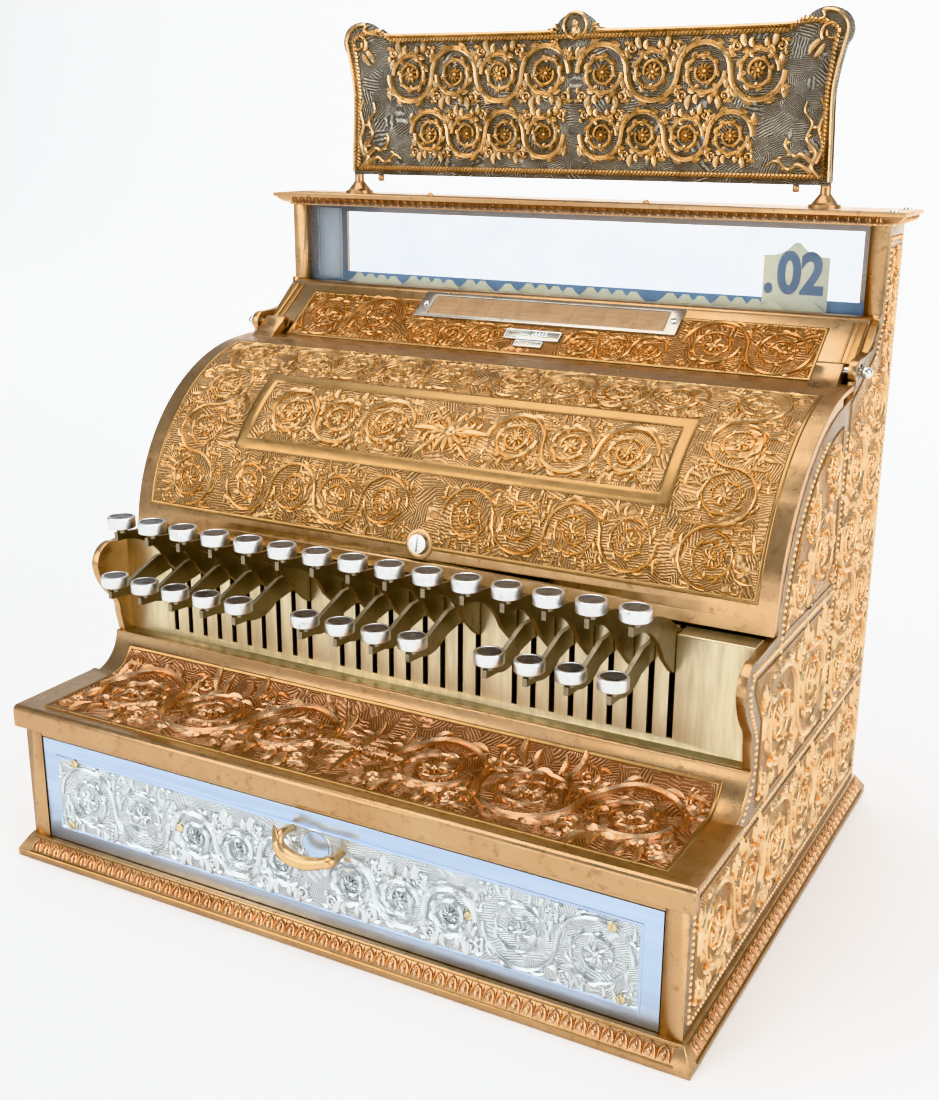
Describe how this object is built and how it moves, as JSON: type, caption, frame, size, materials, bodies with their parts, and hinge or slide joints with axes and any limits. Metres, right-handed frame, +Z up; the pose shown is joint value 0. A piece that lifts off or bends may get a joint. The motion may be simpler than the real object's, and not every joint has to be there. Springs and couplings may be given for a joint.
{
  "type": "cash register",
  "caption": "Antique mechanical counter register: key levers in two rows, curved hinged lid, sliding money drawer, glazed number indicator and a top sign plate.",
  "frame": {"origin": "on the counter surface, at the middle of the whole machine's bounding box", "axes": "+X to the right as the clerk faces the keys, +Y towards the back, +Z up"},
  "size_m": [0.4502, 0.3594, 0.511],
  "materials": {
    "cast_brass": "polished cast brass, worn bright on the edges, darker in the ground of the relief",
    "sheet_brass": "satin rolled brass sheet",
    "drawer_nickel": "satin nickel plate over a cast scroll panel",
    "nickel": "polished nickel plate",
    "lever_steel": "dull tarnished nickel on steel",
    "inner_steel": "oiled steel",
    "aged_brass": "dark patinated brass with rubbed highlights",
    "glass": "clear plate glass",
    "tablet_cream": "cream enamel with blue figures",
    "guide_blue": "blue enamel",
    "till_wood": "varnished hardwood",
    "bell_metal": "turned bell metal"
  },
  "bodies": {
    "case": {"plinth": "cast_brass", "base_pan": "inner_steel", "side_panel_left": "cast_brass", "side_panel_right": "cast_brass", "back_panel": "cast_brass", "ledge": "cast_brass", "key_plate": "sheet_brass", "hinge_pins": "nickel", "upper_panel": "cast_brass", "label_holder": "nickel", "cornice": "cast_brass", "front_glass": "glass", "rear_glass": "glass", "sign_plate": "aged_brass", "sign_posts": "cast_brass", "drawer_runners": "inner_steel", "key_shaft": "inner_steel", "key_springs": "inner_steel", "tablets_resting": "tablet_cream", "tablet_guide": "guide_blue", "bell": "bell_metal", "counter_frame": "inner_steel"},
    "lid": {"lid": "cast_brass"},
    "lid_lock": {"lid_lock": "nickel"},
    "drawer": {"drawer_front": "drawer_nickel", "drawer_tray": "till_wood", "drawer_pull": "cast_brass", "coin_cups": "till_wood", "drawer_screws": "sheet_brass"},
    "tablet_raised": {"tablet_raised": "tablet_cream"},
    "bell_hammer": {"bell_hammer": "inner_steel"},
    "counter": {"counter_wheels": "nickel"},
    "key_01": {"key_01": "lever_steel"},
    "key_02": {"key_02": "lever_steel"},
    "key_03": {"key_03": "lever_steel"},
    "key_04": {"key_04": "lever_steel"},
    "key_05": {"key_05": "lever_steel"},
    "key_06": {"key_06": "lever_steel"},
    "key_07": {"key_07": "lever_steel"},
    "key_08": {"key_08": "lever_steel"},
    "key_09": {"key_09": "lever_steel"},
    "key_10": {"key_10": "lever_steel"},
    "key_11": {"key_11": "lever_steel"},
    "key_12": {"key_12": "lever_steel"},
    "key_13": {"key_13": "lever_steel"},
    "key_14": {"key_14": "lever_steel"},
    "key_15": {"key_15": "lever_steel"},
    "key_16": {"key_16": "lever_steel"},
    "key_17": {"key_17": "lever_steel"},
    "key_18": {"key_18": "lever_steel"},
    "key_19": {"key_19": "lever_steel"},
    "key_20": {"key_20": "lever_steel"},
    "key_21": {"key_21": "lever_steel"},
    "key_22": {"key_22": "lever_steel"},
    "key_23": {"key_23": "lever_steel"},
    "key_24": {"key_24": "lever_steel"},
    "key_25": {"key_25": "lever_steel"},
    "key_26": {"key_26": "lever_steel"},
    "key_27": {"key_27": "lever_steel"},
    "key_28": {"key_28": "lever_steel"}
  },
  "joints": [
    {"name": "key_01_press", "type": "hinge", "parent": "case", "child": "key_01", "pos_m": [0, 0.0093, 0.16], "axis": [1, 0, 0], "range_deg": [0, 12], "stiffness_Nm_per_rad": 1.5, "springref_deg": -14.32},
    {"name": "key_02_press", "type": "hinge", "parent": "case", "child": "key_02", "pos_m": [0, 0.0093, 0.16], "axis": [1, 0, 0], "range_deg": [0, 12], "stiffness_Nm_per_rad": 1.5, "springref_deg": -14.32},
    {"name": "key_03_press", "type": "hinge", "parent": "case", "child": "key_03", "pos_m": [0, 0.0093, 0.16], "axis": [1, 0, 0], "range_deg": [0, 12], "stiffness_Nm_per_rad": 1.5, "springref_deg": -14.32},
    {"name": "key_04_press", "type": "hinge", "parent": "case", "child": "key_04", "pos_m": [0, 0.0093, 0.16], "axis": [1, 0, 0], "range_deg": [0, 12], "stiffness_Nm_per_rad": 1.5, "springref_deg": -14.32},
    {"name": "key_05_press", "type": "hinge", "parent": "case", "child": "key_05", "pos_m": [0, 0.0093, 0.16], "axis": [1, 0, 0], "range_deg": [0, 12], "stiffness_Nm_per_rad": 1.5, "springref_deg": -14.32},
    {"name": "key_06_press", "type": "hinge", "parent": "case", "child": "key_06", "pos_m": [0, 0.0093, 0.16], "axis": [1, 0, 0], "range_deg": [0, 12], "stiffness_Nm_per_rad": 1.5, "springref_deg": -14.32},
    {"name": "key_07_press", "type": "hinge", "parent": "case", "child": "key_07", "pos_m": [0, 0.0093, 0.16], "axis": [1, 0, 0], "range_deg": [0, 12], "stiffness_Nm_per_rad": 1.5, "springref_deg": -14.32},
    {"name": "key_08_press", "type": "hinge", "parent": "case", "child": "key_08", "pos_m": [0, 0.0093, 0.16], "axis": [1, 0, 0], "range_deg": [0, 12], "stiffness_Nm_per_rad": 1.5, "springref_deg": -14.32},
    {"name": "key_09_press", "type": "hinge", "parent": "case", "child": "key_09", "pos_m": [0, 0.0093, 0.16], "axis": [1, 0, 0], "range_deg": [0, 12], "stiffness_Nm_per_rad": 1.5, "springref_deg": -14.32},
    {"name": "key_10_press", "type": "hinge", "parent": "case", "child": "key_10", "pos_m": [0, 0.0093, 0.16], "axis": [1, 0, 0], "range_deg": [0, 12], "stiffness_Nm_per_rad": 1.5, "springref_deg": -14.32},
    {"name": "key_11_press", "type": "hinge", "parent": "case", "child": "key_11", "pos_m": [0, 0.0093, 0.16], "axis": [1, 0, 0], "range_deg": [0, 12], "stiffness_Nm_per_rad": 1.5, "springref_deg": -14.32},
    {"name": "key_12_press", "type": "hinge", "parent": "case", "child": "key_12", "pos_m": [0, 0.0093, 0.16], "axis": [1, 0, 0], "range_deg": [0, 12], "stiffness_Nm_per_rad": 1.5, "springref_deg": -14.32},
    {"name": "key_13_press", "type": "hinge", "parent": "case", "child": "key_13", "pos_m": [0, 0.0093, 0.16], "axis": [1, 0, 0], "range_deg": [0, 12], "stiffness_Nm_per_rad": 1.5, "springref_deg": -14.32},
    {"name": "key_14_press", "type": "hinge", "parent": "case", "child": "key_14", "pos_m": [0, 0.0093, 0.16], "axis": [1, 0, 0], "range_deg": [0, 12], "stiffness_Nm_per_rad": 1.5, "springref_deg": -14.32},
    {"name": "key_15_press", "type": "hinge", "parent": "case", "child": "key_15", "pos_m": [0, 0.0093, 0.16], "axis": [1, 0, 0], "range_deg": [0, 12], "stiffness_Nm_per_rad": 1.5, "springref_deg": -14.32},
    {"name": "key_16_press", "type": "hinge", "parent": "case", "child": "key_16", "pos_m": [0, 0.0093, 0.16], "axis": [1, 0, 0], "range_deg": [0, 12], "stiffness_Nm_per_rad": 1.5, "springref_deg": -14.32},
    {"name": "key_17_press", "type": "hinge", "parent": "case", "child": "key_17", "pos_m": [0, 0.0093, 0.16], "axis": [1, 0, 0], "range_deg": [0, 12], "stiffness_Nm_per_rad": 1.5, "springref_deg": -14.32},
    {"name": "key_18_press", "type": "hinge", "parent": "case", "child": "key_18", "pos_m": [0, 0.0093, 0.16], "axis": [1, 0, 0], "range_deg": [0, 12], "stiffness_Nm_per_rad": 1.5, "springref_deg": -14.32},
    {"name": "key_19_press", "type": "hinge", "parent": "case", "child": "key_19", "pos_m": [0, 0.0093, 0.16], "axis": [1, 0, 0], "range_deg": [0, 12], "stiffness_Nm_per_rad": 1.5, "springref_deg": -14.32},
    {"name": "key_20_press", "type": "hinge", "parent": "case", "child": "key_20", "pos_m": [0, 0.0093, 0.16], "axis": [1, 0, 0], "range_deg": [0, 12], "stiffness_Nm_per_rad": 1.5, "springref_deg": -14.32},
    {"name": "key_21_press", "type": "hinge", "parent": "case", "child": "key_21", "pos_m": [0, 0.0093, 0.16], "axis": [1, 0, 0], "range_deg": [0, 12], "stiffness_Nm_per_rad": 1.5, "springref_deg": -14.32},
    {"name": "key_22_press", "type": "hinge", "parent": "case", "child": "key_22", "pos_m": [0, 0.0093, 0.16], "axis": [1, 0, 0], "range_deg": [0, 12], "stiffness_Nm_per_rad": 1.5, "springref_deg": -14.32},
    {"name": "key_23_press", "type": "hinge", "parent": "case", "child": "key_23", "pos_m": [0, 0.0093, 0.16], "axis": [1, 0, 0], "range_deg": [0, 12], "stiffness_Nm_per_rad": 1.5, "springref_deg": -14.32},
    {"name": "key_24_press", "type": "hinge", "parent": "case", "child": "key_24", "pos_m": [0, 0.0093, 0.16], "axis": [1, 0, 0], "range_deg": [0, 12], "stiffness_Nm_per_rad": 1.5, "springref_deg": -14.32},
    {"name": "key_25_press", "type": "hinge", "parent": "case", "child": "key_25", "pos_m": [0, 0.0093, 0.16], "axis": [1, 0, 0], "range_deg": [0, 12], "stiffness_Nm_per_rad": 1.5, "springref_deg": -14.32},
    {"name": "key_26_press", "type": "hinge", "parent": "case", "child": "key_26", "pos_m": [0, 0.0093, 0.16], "axis": [1, 0, 0], "range_deg": [0, 12], "stiffness_Nm_per_rad": 1.5, "springref_deg": -14.32},
    {"name": "key_27_press", "type": "hinge", "parent": "case", "child": "key_27", "pos_m": [0, 0.0093, 0.16], "axis": [1, 0, 0], "range_deg": [0, 12], "stiffness_Nm_per_rad": 1.5, "springref_deg": -14.32},
    {"name": "key_28_press", "type": "hinge", "parent": "case", "child": "key_28", "pos_m": [0, 0.0093, 0.16], "axis": [1, 0, 0], "range_deg": [0, 12], "stiffness_Nm_per_rad": 1.5, "springref_deg": -14.32},
    {"name": "lid_hinge", "type": "hinge", "parent": "case", "child": "lid", "pos_m": [0, 0.0863, 0.306], "axis": [-1, 0, 0], "range_deg": [0, 115]},
    {"name": "lid_lock_turn", "type": "hinge", "parent": "lid", "child": "lid_lock", "pos_m": [0, -0.03742, 0.20273], "axis": [0, -0.9703, 0.2419], "range_deg": [0, 90]},
    {"name": "drawer_slide", "type": "slide", "parent": "case", "child": "drawer", "axis": [0, -1, 0], "range_m": [0, 0.23]},
    {"name": "tablet_raised_slide", "type": "slide", "parent": "case", "child": "tablet_raised", "axis": [0, 0, 1], "range_m": [-0.0355, 0]},
    {"name": "bell_hammer_swing", "type": "hinge", "parent": "case", "child": "bell_hammer", "pos_m": [-0.2, 0.0583, 0.2], "axis": [1, 0, 0], "range_deg": [0, 25], "stiffness_Nm_per_rad": 0.02, "springref_deg": -22.92},
    {"name": "counter_spin", "type": "hinge", "parent": "case", "child": "counter", "pos_m": [0, 0.0293, 0.235], "axis": [1, 0, 0], "continuous": true}
  ]
}
